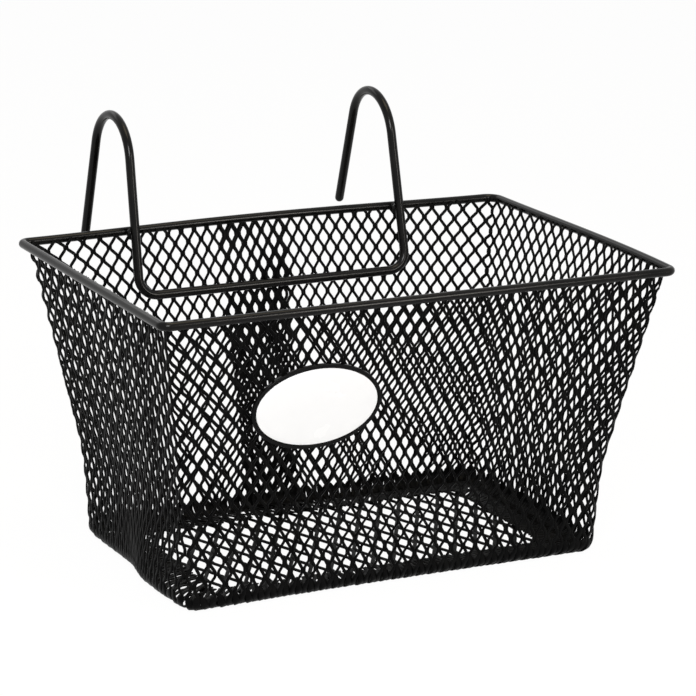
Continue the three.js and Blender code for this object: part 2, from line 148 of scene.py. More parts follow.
# Hook wire
HOOK_WIRE = 6 * MM
HOOK_SPACING = 191 * MM
HOOK_RISE_LEFT = 70.5 * MM
HOOK_RISE_RIGHT = 73 * MM
HOOK_LEAN_LEFT = math.radians(0.7)
HOOK_LEAN_RIGHT = math.radians(1.8)
HOOK_CROWN_RADIUS = 30 * MM
HOOK_TAIL = 69 * MM
HOOK_TAIL_SPLAY_LEFT = math.radians(16)
HOOK_TAIL_SPLAY_RIGHT = math.radians(21)
BAR_DROP = 39 * MM
BAR_BEND_RADIUS = 12 * MM

# Weld beads: how much of its box a bead fills, its lumps and its finer grain
WELD_FILL = 0.9
WELD_LUMP = 0.16
WELD_LUMP_SCALE = 1.7
WELD_LUMP_SHIFT = 200
WELD_GRAIN = 0.05
WELD_GRAIN_SCALE = 5

# Oval plate: the bead round the tray has its centre below the tray's top, by a share of its radius
PLATE_X = -66.6 * MM
PLATE_HEIGHT = 125.4 * MM
PLATE_LENGTH = 85 * MM
PLATE_WIDTH = 55 * MM
PLATE_THICKNESS = 2.4 * MM
PLATE_BEZEL = 2.5 * MM
BEAD_DEPTH = 0.6
PLATE_RECESS = 1 * MM
PLATE_FACE = 0.6 * MM
PLATE_DOME = 0.3 * MM
PLATE_EDGE = 0.5 * MM
TAB_SPACING = 32 * MM
TAB_WIDTH = 6 * MM
TAB_THICKNESS = 1 * MM
TAB_FOLD = 9 * MM

# How finely curves are drawn
SECTION_STEPS = 800
CURVE_STEPS = 40
BEND_STEPS = 16
STRAIGHT_STEPS = 24
DOME_STEPS = 6
WIRE_SIDES = 24
OVAL_SIDES = 128

rng = np.random.default_rng(7)


def unit(vectors):
    return vectors / np.linalg.norm(vectors, axis=-1, keepdims=True)


def add_piece(name, vertices, faces, material, slot, *nodes):
    mesh = bpy.data.meshes.new(name)
    mesh.from_pydata(np.asarray(vertices).tolist(), [], [list(face) for face in faces])
    mesh.update()
    mesh.shade_smooth()
    add_mesh(name, mesh, material, slot, *nodes)


def add_mesh(name, mesh, material, slot, *nodes):
    piece = bpy.data.objects.new(name, mesh)
    bpy.context.scene.collection.objects.link(piece)
    mesh.materials.append(material)
    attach(piece, "root")
    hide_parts(*nodes)


# Materials

NOISE_LOW = 0.3
NOISE_HIGH = 0.7


def new_material(name):
    material = bpy.data.materials.new(name)
    material.use_nodes = True
    tree = material.node_tree
    return material, tree, tree.nodes["Principled BSDF"]


def object_noise(tree, scale, detail):
    place = tree.nodes.new("ShaderNodeTexCoord")
    texture = tree.nodes.new("ShaderNodeTexNoise")
    texture.inputs["Scale"].default_value = scale
    texture.inputs["Detail"].default_value = detail
    tree.links.new(place.outputs["Object"], texture.inputs["Vector"])
    return texture.outputs["Fac"]


def ramp(tree, factor, low, high):
    node = tree.nodes.new("ShaderNodeValToRGB")
    node.color_ramp.elements[0].position = NOISE_LOW
    node.color_ramp.elements[0].color = (*low, 1)
    node.color_ramp.elements[1].position = NOISE_HIGH
    node.color_ramp.elements[1].color = (*high, 1)
    tree.links.new(factor, node.inputs["Fac"])
    return node.outputs["Color"]


def spread(tree, factor, low, high):
    node = tree.nodes.new("ShaderNodeMapRange")
    node.inputs["From Min"].default_value = NOISE_LOW
    node.inputs["From Max"].default_value = NOISE_HIGH
    node.inputs["To Min"].default_value = low
    node.inputs["To Max"].default_value = high
    tree.links.new(factor, node.inputs["Value"])
    return node.outputs["Result"]


def bump(tree, factor, strength, distance, shader):
    node = tree.nodes.new("ShaderNodeBump")
    node.inputs["Strength"].default_value = strength
    node.inputs["Distance"].default_value = distance
    tree.links.new(factor, node.inputs["Height"])
    tree.links.new(node.outputs["Normal"], shader.inputs["Normal"])


def paint(name, dark, light, roughness, grain, grain_depth, specular):
    """Sprayed paint: slow drifts in colour and gloss, and a fine grain."""
    material, tree, shader = new_material(name)
    shader.inputs["Specular IOR Level"].default_value = specular
    drift = object_noise(tree, scale=60, detail=3)
    tree.links.new(ramp(tree, drift, dark, light), shader.inputs["Base Color"])
    tree.links.new(spread(tree, drift, *roughness), shader.inputs["Roughness"])
    bump(tree, object_noise(tree, scale=grain, detail=2), strength=0.5, distance=grain_depth, shader=shader)
    return material


mesh_paint = paint(
    "mesh_paint", dark=(0.0015, 0.0015, 0.0016), light=(0.005, 0.005, 0.005),
    roughness=(0.28, 0.42), grain=900, grain_depth=0.06 * MM, specular=0.03,
)
wire_paint = paint(
    "wire_paint", dark=(0.0015, 0.0015, 0.0015), light=(0.005, 0.0045, 0.004),
    roughness=(0.14, 0.22), grain=400, grain_depth=0.02 * MM, specular=0.14,
)
plate_paint = paint(
    "plate_paint", dark=(0.0015, 0.0015, 0.0015), light=(0.004, 0.004, 0.004),
    roughness=(0.16, 0.26), grain=500, grain_depth=0.02 * MM, specular=0.1,
)
plate_enamel = paint(
    "plate_enamel", dark=(0.935, 0.945, 0.965), light=(0.955, 0.965, 0.985),
    roughness=(0.24, 0.28), grain=300, grain_depth=0.02 * MM, specular=0.5,
)


# Wall section: the sheet's middle line from its top edge down, under at the foot and in along the flange.
# Under the foot's curl a ring stands on the ground, and the flange steps up from it onto the floor sheet.

TOP_INSET = (RIM_WIRE + RIBBON_THICKNESS) / 2
WALL_TOP = RIM_HEIGHT + WALL_ABOVE_RIM
RING_HEIGHT = RIBBON_LIFT
FLANGE_HEIGHT = RING_HEIGHT + SHEET + CLEARANCE
CURL_INSET = FOOT_INSET + FOOT_RADIUS
FLANGE_INSET = CURL_INSET + FOOT_RING + FOOT_STEP
WALL_LEAN = math.atan((WAIST_INSET - TOP_INSET) / (WALL_TOP - WAIST_HEIGHT))
SEAM_SHIFT = SHEET + CLEARANCE


def inset_at(height):
    return TOP_INSET + (WAIST_INSET - TOP_INSET) * (WALL_TOP - height) / (WALL_TOP - WAIST_HEIGHT)


class Section:
    """The middle line by its length from the top edge: inset, height and the outward normal."""

    def __init__(self):
        top = np.array([TOP_INSET, WALL_TOP])
        waist = np.array([WAIST_INSET, WAIST_HEIGHT])
        foot = np.array([FOOT_INSET, RING_HEIGHT + FOOT_RADIUS])
        above = waist + unit(top - waist) * WAIST_ROUND
        below = waist + unit(foot - waist) * WAIST_ROUND
        share = np.linspace(0, 1, CURVE_STEPS)[:, None]
        bend = (1 - share) ** 2 * above + 2 * share * (1 - share) * waist + share ** 2 * below
        turn = np.linspace(0, math.pi / 2, CURVE_STEPS)
        curl = np.stack([
            CURL_INSET - FOOT_RADIUS * np.cos(turn),
            RING_HEIGHT + FOOT_RADIUS * (1 - np.sin(turn)),
        ], axis=1)
        ring = np.array([CURL_INSET + FOOT_RING, RING_HEIGHT])
        step = np.array([FLANGE_INSET, FLANGE_HEIGHT])
        edge = np.array([CURL_INSET + FLANGE_WIDTH, FLANGE_HEIGHT])
        line = np.concatenate([[top], bend, curl, [ring, step, edge]])
        steps = np.linalg.norm(np.diff(line, axis=0), axis=1)
        self.length = np.concatenate([[0], np.cumsum(steps)])
        fine = np.linspace(0, self.length[-1], SECTION_STEPS)
        self.inset = np.interp(fine, self.length, line[:, 0])
        self.height = np.interp(fine, self.length, line[:, 1])
        tangent = unit(np.stack([np.gradient(self.inset), np.gradient(self.height)], axis=1))
        self.out = -tangent[:, 1]
        self.up = -tangent[:, 0]
        self.length = fine

    def at(self, length):
        columns = (self.inset, self.height, self.out, self.up)
        return [np.interp(length, self.length, values) for values in columns]


section = Section()
SECTION_END = section.length[-1]
CURL_START = section.length[np.argmax(section.height < RING_HEIGHT + FOOT_RADIUS)]
FLANGE_START = section.length[np.argmax(section.inset > FLANGE_INSET)]


# Wall strip: one long net wrapped round the basket; a place on it is a ribbon count and a length down

class Wall:
    """One side of the basket as a stretch of the strip, from the middle of one corner to the next."""

    def __init__(self, start, ribbons, along, out, arch, half_rows, top_fan, top_skew, foot_fan=0):
        self.middle = start + ribbons / 2
        self.half = ribbons / 2
        self.along = np.array(along)
        self.out = np.array(out)
        is_end = out[0] != 0
        self.reach = (RIM_DEPTH if is_end else RIM_LENGTH) / 2
        self.face = (RIM_LENGTH if is_end else RIM_DEPTH) / 2
        self.half_rows = half_rows
        self.top_fan = top_fan
        self.top_skew = top_skew
        self.foot_fan = foot_fan
        self.arch = arch

    def corner(self, inset):
        """The corners are sharp at the rim and rounder down to the waist."""
        down = np.clip((inset - TOP_INSET) / (WAIST_INSET - TOP_INSET), 0, 1)
        radius = WALL_CORNER_TOP + (WALL_CORNER_FOOT - WALL_CORNER_TOP) * down
        return np.maximum(radius - np.maximum(inset - FOOT_INSET, 0), FLANGE_CORNER)

    def half_length(self, inset):
        radius = self.corner(inset)
        return self.reach - inset - radius + radius * math.pi / 4

    def openness(self, height):
        return np.clip((height - FLANGE_HEIGHT) / (WALL_TOP - FLANGE_HEIGHT), 0, 1)

    def drop(self, count):
        """How far the rows' arc has come down at a ribbon, from its height at the middle of the back."""
        c = np.clip((count - self.middle) / self.half, -1, 1)
        return BACK_ARCH - self.arch * (1 - c ** 2)

    def half_row(self, count):
        """Half a row's height, which changes evenly from one corner to the next."""
        ends = (self.middle - self.half, self.middle + self.half)
        return np.interp(count, ends, self.half_rows)

    def share(self, count, height):
        """Position along the wall from -1 to 1, with the columns spread by the fan and skew."""
        c = (count - self.middle) / self.half
        top = self.openness(height)
        fan = self.top_fan * top + self.foot_fan * (1 - top)
        return c + fan * (c ** 3 - c) + self.top_skew * top * (c ** 2 - 1) / 2

    def ribbon_step(self, count, length):
        """Width that one ribbon has along the wall."""
        inset, height, _, _ = section.at(length)
        c = (count - self.middle) / self.half
        top = self.openness(height)
        fan = self.top_fan * top + self.foot_fan * (1 - top)
        return self.half_length(inset) * (1 + fan * (3 * c ** 2 - 1) + self.top_skew * top * c) / self.half

    def place(self, count, length):
        """Points on the sheet's middle surface and the outward normals there."""
        inset, height, normal_out, normal_up = section.at(length)
        radius = self.corner(inset)
        s = self.half_length(inset) * self.share(count, height)
        straight = self.reach - inset - radius
        turn = np.maximum(np.abs(s) - straight, 0) / radius
        side = np.sign(s)
        along = np.where(turn > 0, side * (straight + radius * np.sin(turn)), s)
        out = self.face - inset - radius + radius * np.cos(turn)
        flat = along[:, None] * self.along + out[:, None] * self.out
        level = (side * np.sin(turn))[:, None] * self.along + np.cos(turn)[:, None] * self.out
        points = np.column_stack([flat, height])
        normals = np.column_stack([level * normal_out[:, None], normal_up])
        return points, normals


front_rows = (FRONT_HALF_ROW, FRONT_HALF_ROW)
back_rows = (BACK_HALF_ROW, BACK_HALF_ROW)
left_rows = (BACK_HALF_ROW, FRONT_HALF_ROW)
right_rows = (FRONT_HALF_ROW, BACK_HALF_ROW)
front_start = FRONT_FOLD
left_start = front_start - LEFT_RIBBONS
right_start = front_start + FRONT_RIBBONS
back_start = right_start + RIGHT_RIBBONS
walls = {
    "back_left": Wall(
        left_start - BACK_RIBBONS, BACK_RIBBONS, (-1, 0), (0, 1), BACK_ARCH, back_rows,
        BACK_LEFT_FAN, BACK_LEFT_SKEW,
    ),
    "left": Wall(
        left_start, LEFT_RIBBONS, (0, -1), (-1, 0), END_ARCH, left_rows, 0, -END_SKEW, END_FOOT_FAN,
    ),
    "front": Wall(
        front_start, FRONT_RIBBONS, (1, 0), (0, -1), FRONT_ARCH, front_rows, FRONT_FAN, FRONT_SKEW,
    ),
    "right": Wall(
        right_start, RIGHT_RIBBONS, (0, 1), (1, 0), END_ARCH, right_rows, 0, END_SKEW, END_FOOT_FAN,
    ),
    "back_right": Wall(
        back_start + BACK_RIGHT_FOLD, BACK_RIBBONS, (-1, 0), (0, 1), BACK_ARCH, back_rows,
        BACK_RIGHT_FAN, BACK_RIGHT_SKEW,
    ),
}
wall_middles = [wall.middle for wall in walls.values()]
top_tilts = [LONG_WALL_TILT, LEFT_WALL_TILT, LONG_WALL_TILT, RIGHT_WALL_TILT, LONG_WALL_TILT]
waist_tilts = [LONG_WAIST_TILT, LEFT_WAIST_TILT, LONG_WAIST_TILT, RIGHT_WAIST_TILT, LONG_WAIST_TILT]


def wall_at(count):
    if count < left_start:
        return walls["back_left"]
    if count < front_start:
        return walls["left"]
    if count < right_start:
        return walls["front"]
    if count < back_start:
        return walls["right"]
    return walls["back_right"]


def on_strip(counts, lengths):
    """Points and normals for places that may lie on both sides of a corner."""
    points = np.zeros((len(counts), 3))
    normals = np.zeros((len(counts), 3))
    owners = [wall_at(count) for count in counts]
    for wall in walls.values():
        mine = np.array([owner is wall for owner in owners])
        if mine.any():
            points[mine], normals[mine] = wall.place(counts[mine], lengths[mine])
    return points, normals


# Rows of the net

def length_down(wall, counts, marks):
    """Length from the top edge at a ribbon count and a row mark."""
    straightened = np.maximum(1 - marks / FOOT_MARK, 0)
    lengths = TOP_TRIM + wall.half_row(counts) * marks + wall.drop(counts) * straightened
    return np.clip(lengths, TOP_TRIM, SECTION_END)


# Ribbons: every strand of expanded metal is part of a ribbon that swings between its two neighbours

HALF_BOND = BOND_SHARE / 2
STATIONS = np.array([
    HALF_BOND - BOND_BEND, HALF_BOND + BOND_BEND, 0.5, 1 - HALF_BOND - BOND_BEND, 1 - HALF_BOND + BOND_BEND,
])


def ribbon_swing(marks):
    """From -1 at one neighbour to 1 at the other, with a straight bond at each end."""
    phase = np.abs((marks + 1) % 2 - 1)
    return np.clip((phase - 0.5) / (0.5 - HALF_BOND), -1, 1)


def ribbon_profile():
    """Section of a ribbon: shares of its half width, and heights."""
    w = 1
    t = RIBBON_THICKNESS / 2
    e = RIBBON_EDGE
    s = e / (RIBBON_WIDTH / 2)
    return np.array([
        (w, e - t), (w, t - e), (w - s, t), (s - w, t),
        (-w, t - e), (-w, e - t), (s - w, -t), (w - s, -t),
    ])


def ribbon_mesh(points, normals, swing, tilt, width):
    """Rings of a ribbon's section along its middle line, leaning out of the sheet by the tilt."""
    points = points - normals * (swing * RIBBON_WIDTH / 2 * np.sin(tilt))[:, None]
    tangent = unit(np.gradient(points, axis=0))
    across = unit(np.cross(normals, tangent))
    out = np.cross(tangent, across)
    cosine = np.cos(tilt)[:, None]
    sine = np.sin(tilt)[:, None]
    wide = across * cosine + out * sine
    deep = out * cosine - across * sine
    profile = ribbon_profile()
    sideways = profile[:, 0, None] * (wide * width[:, None] / 2)[:, None, :]
    return points[:, None, :] + sideways + profile[:, 1, None] * deep[:, None, :]


class RibbonSheet:
    """Collects ribbons into one mesh."""

    def __init__(self):
        self.vertices = []
        self.faces = []
        self.count = 0

    def add(self, rings):
        rows, sides, _ = rings.shape
        index = self.count + np.arange(rows * sides).reshape(rows, sides)
        ahead = np.roll(index, -1, axis=1)
        quads = np.stack([index[:-1], index[1:], ahead[1:], ahead[:-1]], axis=-1).reshape(-1, 4)
        self.faces.extend(quads.tolist())
        self.faces.append(index[0].tolist())
        self.faces.append(index[-1][::-1].tolist())
        self.vertices.append(rings.reshape(-1, 3))
        self.count += rows * sides

    def piece(self, name, *nodes):
        add_piece(name, np.concatenate(self.vertices), self.faces, mesh_paint, "mesh_paint", *nodes)


def smooth_step(value):
    value = np.clip(value, 0, 1)
    return value * value * (3 - 2 * value)


def shut_share(lengths):
    """How far the cells are pressed shut: fully round the foot's curl and ring, less on the flange."""
    round_foot = smooth_step((lengths - CURL_START) / SHUT_FADE + 1)
    on_flange = smooth_step((lengths - FLANGE_START) / SHUT_FADE)
    return round_foot * (1 + (FLANGE_SHUT - 1) * on_flange)


def foot_bulge(points):
    """How far the foot is pushed out, fading upwards to the waist."""
    x, y, z = points.T
    low = smooth_step((WAIST_HEIGHT - z) / (WAIST_HEIGHT - FOOT_RADIUS))
    half_x = RIM_LENGTH / 2 - FOOT_INSET
    half_y = RIM_DEPTH / 2 - FOOT_INSET
    forward = -y / half_y
    bow = sum(share * smooth_step((forward - start) / run) for share, start, run in LEFT_BULGE_STEPS)
    near_left = smooth_step((-x - half_x + FLANGE_WIDTH + FOOT_RADIUS) / FLANGE_WIDTH)
    near_front = smooth_step((-y - half_y + FLANGE_WIDTH + FOOT_RADIUS) / FLANGE_WIDTH)
    near_corner = np.exp(-((x + half_x) / (half_x / 2)) ** 2)
    return np.column_stack([
        -LEFT_BULGE * bow * near_left * low,
        -FRONT_BULGE * near_front * near_corner * low,
        np.zeros(len(points)),
    ])


def strand_tilt(count, lengths):
    """The strands turn further round towards the waist, where the cells are narrower."""
    _, height, _, _ = section.at(lengths)
    at_waist = np.interp(height, (FOOT_RADIUS, WAIST_HEIGHT, WALL_TOP), (0, 1, 0))
    top = np.interp(count, wall_middles, top_tilts)
    waist = np.interp(count, wall_middles, waist_tilts)
    return top + (waist - top) * at_waist


def strip_ribbon(number):
    """One ribbon of the wall strip, from the top edge to the edge of the flange."""
    wall = wall_at(number + 0.5)
    drop = wall.drop(number + 0.5)
    half_row = wall.half_row(number + 0.5)
    first = -drop / (half_row - drop / FOOT_MARK)
    last = (SECTION_END - TOP_TRIM) / half_row
    rows = np.arange(math.floor(first), math.ceil(last) + 1)
    marks = (rows[:, None] + STATIONS).ravel() - ROW_PHASE
    marks = np.concatenate([[first], marks[(marks > first) & (marks < last)], [last]])
    swing = ribbon_swing(marks + ROW_PHASE + number)
    middle = np.full(len(marks), number + 0.5)
    middle_lengths = length_down(wall, middle, marks)
    step = wall.ribbon_step(middle, middle_lengths)
    full_tilt = strand_tilt(number + 0.5, middle_lengths)
    bond = np.minimum(BOND_LAP * RIBBON_WIDTH * np.cos(full_tilt) / 2 / step, 0.5)
    shut = shut_share(middle_lengths)
    counts = middle + swing * (0.5 - bond) * (1 + (FOOT_SWING - 1) * shut)
    lengths = length_down(wall, counts, marks)
    points, normals = on_strip(counts, lengths)
    foot = smooth_step((points[:, 2] - RING_HEIGHT) / FOOT_RADIUS)
    tilt = FLAT_TILT + (full_tilt - FLAT_TILT) * foot
    points = points + foot_bulge(points)
    if wall in (walls["back_left"], walls["back_right"]):
        seam_start = SEAM_X - SEAM_OVERLAP / 2
        inside = smooth_step((points[:, 0] - seam_start + SEAM_STEP) / SEAM_STEP)
        lapped = inside * smooth_step((SEAM_X + SEAM_OVERLAP / 2 + SEAM_STEP - points[:, 0]) / SEAM_STEP)
        tilt = tilt * (1 - lapped) + FLAT_TILT * lapped
        if wall is walls["back_left"]:
            points = points - normals * (SEAM_SHIFT * inside)[:, None]
    wobble = rng.normal(0, SHEET_WOBBLE, len(points))
    even = np.ones(WOBBLE_SPAN) / WOBBLE_SPAN
    points = points + normals * np.convolve(wobble, even, mode="same")[:, None]
    return ribbon_mesh(points, normals, swing, tilt, RIBBON_WIDTH * (1 + (FOOT_SPREAD - 1) * shut))


def strip_panel(name, node, first, last):
    sheet = RibbonSheet()
    for number in range(first, last):
        sheet.add(strip_ribbon(number))
    sheet.piece(name, node)


def back_count(x, wall):
    """Ribbon count where a back leaf crosses a place along X, a third of the way down its section."""
    counts = np.arange(wall.middle - wall.half, wall.middle + wall.half, 0.5)
    points, _ = wall.place(counts, np.full(len(counts), SECTION_END / 3))
    return counts[np.argmin(np.abs(points[:, 0] - x))]


left_leaf_end = round(back_count(SEAM_X + SEAM_OVERLAP / 2, walls["back_left"]))
right_leaf_end = round(back_count(SEAM_X - SEAM_OVERLAP / 2, walls["back_right"]))
left_first = round(left_start)
front_first = round(front_start)
right_first = round(right_start)
back_first = round(back_start)

strip_panel("mesh_back_left", "wall_back_left", left_leaf_end, left_first)
strip_panel("mesh_left", "wall_left", left_first, front_first)
strip_panel("mesh_front", "wall_front", front_first, right_first)
strip_panel("mesh_right", "wall_right", right_first, back_first)
strip_panel("mesh_back_right", "wall_back_right", back_first, right_leaf_end)


# Floor sheet: ribbons from front to back, cut to a rectangle with round corners

def floor_piece():
    half_x = RIM_LENGTH / 2 - FLANGE_INSET - CLEARANCE
    half_y = RIM_DEPTH / 2 - FLANGE_INSET - CLEARANCE
    ribbons = math.floor(half_x / (FLOOR_CELL / 2))
    sheet = RibbonSheet()
    bond = BOND_LAP * FLOOR_STRAND * math.cos(FLAT_TILT) / FLOOR_CELL
    for number in range(-ribbons, ribbons):
        x = (number + 0.5) * FLOOR_CELL / 2 + FLOOR_SHIFT_X
        corner = max(abs(x) - (half_x - FLOOR_CORNER), 0)
        reach = half_y - FLOOR_CORNER + math.sqrt(max(FLOOR_CORNER ** 2 - corner ** 2, 0))
        rows = math.ceil((reach + FLOOR_SHIFT_Y) / (FLOOR_RISE / 2))
        marks = (np.arange(-rows, rows)[:, None] + STATIONS).ravel()
        y = marks * FLOOR_RISE / 2 + FLOOR_SHIFT_Y
        kept = np.abs(y) < reach
        swing = ribbon_swing(marks[kept] + number)
        points = np.column_stack([
            x + swing * (0.5 - bond) * FLOOR_CELL / 2 + FLOOR_SKEW * y[kept],
            y[kept],
            np.full(kept.sum(), RIBBON_LIFT),
        ])
        normals = np.tile([0.0, 0.0, -1.0], (len(points), 1))
        tilt = np.full(len(points), FLAT_TILT)
        sheet.add(ribbon_mesh(points, normals, swing, tilt, np.full(len(points), FLOOR_STRAND)))
    sheet.piece("mesh_floor", "floor_sheet")


floor_piece()


# Wires

# Any direction along which no wire starts
OFF_THE_WIRE = np.array([0.31, 0.83, 0.47])

# A rounded end closes at this share of the wire's radius
DOME_TIP = 0.02


def sweep(path, radius, closed):
    """Round wire along a path of points; open ends are rounded off."""
    path = np.asarray(path)
    if closed:
        tangent = unit(np.roll(path, -1, axis=0) - np.roll(path, 1, axis=0))
    else:
        tangent = unit(np.gradient(path, axis=0))
    radii = np.full(len(path), radius)
    if not closed:
        dome = np.linspace(0, math.pi / 2, DOME_STEPS + 1)[1:]
        head = path[0] - tangent[0] * (radius * np.sin(dome[::-1]))[:, None]
        tail = path[-1] + tangent[-1] * (radius * np.sin(dome))[:, None]
        caps = radius * np.maximum(np.cos(dome), DOME_TIP)
        path = np.concatenate([head, path, tail])
        radii = np.concatenate([caps[::-1], radii, caps])
        head_tangent = np.repeat(tangent[:1], DOME_STEPS, axis=0)
        tail_tangent = np.repeat(tangent[-1:], DOME_STEPS, axis=0)
        tangent = np.concatenate([head_tangent, tangent, tail_tangent])
    side = unit(np.cross(tangent[0], OFF_THE_WIRE))
    angle = np.linspace(0, 2 * math.pi, WIRE_SIDES, endpoint=False)
    vertices = []
    for point, forward, size in zip(path, tangent, radii):
        side = unit(side - forward * np.dot(side, forward))
        other = np.cross(forward, side)
        vertices.append(point + size * (np.cos(angle)[:, None] * side + np.sin(angle)[:, None] * other))
    index = np.arange(len(path) * WIRE_SIDES).reshape(len(path), WIRE_SIDES)
    ahead = np.roll(index, -1, axis=1)
    rows = len(path) - (0 if closed else 1)
    faces = []
    for row in range(rows):
        after = (row + 1) % len(path)
        faces.extend(np.stack([index[row], ahead[row], ahead[after], index[after]], axis=1).tolist())
    if not closed:
        faces.append(index[0][::-1].tolist())
        faces.append(index[-1].tolist())
    return np.concatenate(vertices), faces


def line(start, end, steps):
    share = np.linspace(0, 1, steps, endpoint=False)[:, None]
    return np.asarray(start) * (1 - share) + np.asarray(end) * share


def arc(centre, radius, towards, then, angle, steps):
    turn = np.linspace(0, angle, steps, endpoint=False)[:, None]
    spokes = np.cos(turn) * np.asarray(towards) + np.sin(turn) * np.asarray(then)
    return np.asarray(centre) + radius * spokes


def rim_piece():
    corners = [
        (1, -1, RIM_CORNER), (1, 1, RIM_CORNER_BACK_RIGHT),
        (-1, 1, RIM_CORNER), (-1, -1, RIM_CORNER),
    ]
    bends = []
    for number, (side_x, side_y, radius) in enumerate(corners):
        turn = np.radians(np.linspace(0, 90, BEND_STEPS + 1) + 90 * number - 90)
        bends.append(np.column_stack([
            side_x * (RIM_LENGTH / 2 - radius) + radius * np.cos(turn),
            side_y * (RIM_DEPTH / 2 - radius) + radius * np.sin(turn),
            np.full(len(turn), RIM_HEIGHT),
        ]))
    stretches = []
    for bend, after in zip(bends, bends[1:] + bends[:1]):
        stretches.append(bend)
        stretches.append(line(bend[-1], after[0], STRAIGHT_STEPS)[1:])
    path = np.concatenate(stretches)
    x = RIM_LENGTH / 2 - RIM_CORNER
    y = RIM_DEPTH / 2 - RIM_CORNER
    across_back = np.clip((path[:, 1] - y) / RIM_CORNER, 0, 1)
    across_right = np.clip((path[:, 0] - x) / RIM_CORNER, 0, 1)
    path[:, 2] += RIM_BOW_BACK * across_back * (1 - (path[:, 0] / (RIM_LENGTH / 2)) ** 2) ** 2
    forward = -path[:, 1] / (RIM_DEPTH / 2)
    bow = RIGHT_BOW_LEVEL * (1 + forward) ** 2 * (1 - forward)
    path[:, 2] += RIM_BOW_RIGHT * across_right * bow
    vertices, faces = sweep(path, RIM_WIRE / 2, True)
    add_piece("rim", vertices, faces, wire_paint, "wire_paint", "rim_wire")


rim_piece()

inner_face_to_wire = SHEET / 2 / math.cos(WALL_LEAN) + CLEARANCE + HOOK_WIRE / 2
bar_height = RIM_HEIGHT - BAR_DROP
leg_rim_y = RIM_DEPTH / 2 - inset_at(RIM_HEIGHT) - inner_face_to_wire - CLEARANCE
bar_y = RIM_DEPTH / 2 - inset_at(bar_height) - inner_face_to_wire - SEAM_SHIFT / math.cos(WALL_LEAN)
leg_up = unit(np.array([0, leg_rim_y - bar_y, BAR_DROP]))


def hook_half(side, rise, lean, splay):
    """Centreline of one hook, from the tail's tip to the bar's middle; it leans towards the middle."""
    corner = np.array([side * HOOK_SPACING / 2, bar_y, bar_height])

    def leant(y, z):
        return np.array([-side * z * math.sin(lean), y, z * math.cos(lean)])

    crown_height = BAR_DROP + rise - HOOK_CROWN_RADIUS
    crown_y = (HOOK_CROWN_RADIUS + crown_height * leg_up[1]) / leg_up[2]
    centre = corner + leant(crown_y, crown_height)
    tail_down = leant(math.sin(splay), -math.cos(splay))
    tail_out = leant(math.cos(splay), math.sin(splay))
    tail_top = centre + tail_out * HOOK_CROWN_RADIUS
    tip = tail_top + tail_down * HOOK_TAIL
    crown_turn = math.pi - splay - math.atan2(leg_up[1], leg_up[2])
    leg_top = centre - leant(leg_up[2], -leg_up[1]) * HOOK_CROWN_RADIUS
    up = leant(leg_up[1], leg_up[2])
    inwards = np.array([-side, 0, 0])
    opening = math.acos(np.dot(up, inwards))
    bend_reach = BAR_BEND_RADIUS / math.tan(opening / 2)
    leg_foot = corner + up * bend_reach
    bar_start = corner + inwards * bend_reach
    bend_centre = corner + unit(up + inwards) * BAR_BEND_RADIUS / math.sin(opening / 2)
    return np.concatenate([
        line(tip, tail_top, BEND_STEPS),
        arc(centre, HOOK_CROWN_RADIUS, tail_out, -tail_down, crown_turn, CURVE_STEPS),
        line(leg_top, leg_foot, BEND_STEPS),
        arc(bend_centre, BAR_BEND_RADIUS, unit(leg_foot - bend_centre), -up, math.pi - opening, BEND_STEPS),
        line(bar_start, [0, bar_y, bar_height], STRAIGHT_STEPS // 2),
    ])


def hook_piece():
    left = hook_half(-1, HOOK_RISE_LEFT, HOOK_LEAN_LEFT, HOOK_TAIL_SPLAY_LEFT)
    right = hook_half(1, HOOK_RISE_RIGHT, HOOK_LEAN_RIGHT, HOOK_TAIL_SPLAY_RIGHT)
    middle = [[0, bar_y, bar_height]]
    vertices, faces = sweep(np.concatenate([left, middle, right[::-1]]), HOOK_WIRE / 2, False)
    add_piece("hooks", vertices, faces, wire_paint, "wire_paint", "hook_wire")


hook_piece()


# Weld beads: lumpy ovals that run into both wires

def weld_piece(name, node):
    low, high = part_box(node)
    centre = (low + high) / 2
    size = (high - low) / 2
    shape = bmesh.new()
    bmesh.ops.create_icosphere(shape, subdivisions=4, radius=1)
    for vertex in shape.verts:
        lump = WELD_LUMP * noise.noise(vertex.co * WELD_LUMP_SCALE + centre * WELD_LUMP_SHIFT)
        grain = WELD_GRAIN * noise.noise(vertex.co * WELD_GRAIN_SCALE)
        swell = WELD_FILL + lump + grain
        vertex.co = centre + Vector(c * s * swell for c, s in zip(vertex.co, size))
    mesh = bpy.data.meshes.new(name)
    shape.to_mesh(mesh)
    shape.free()
    mesh.shade_smooth()
    add_mesh(name, mesh, wire_paint, "wire_paint", node)


weld_piece("weld_left", "hook_weld_left")
weld_piece("weld_right", "hook_weld_right")


# Oval plate: drawn flat with +Z out of the front wall

PLATE_SEAT = SHEET / 2 + CLEARANCE
PLATE_TOP = PLATE_SEAT + PLATE_THICKNESS
plate_turn = math.pi / 2 + WALL_LEAN
plate_frame = (
    Matrix.Translation((PLATE_X, inset_at(PLATE_HEIGHT) - RIM_DEPTH / 2, PLATE_HEIGHT))
    @ Matrix.Rotation(plate_turn, 4, "X")
)


def on_plate(points):
    return [plate_frame @ Vector(point) for point in points]


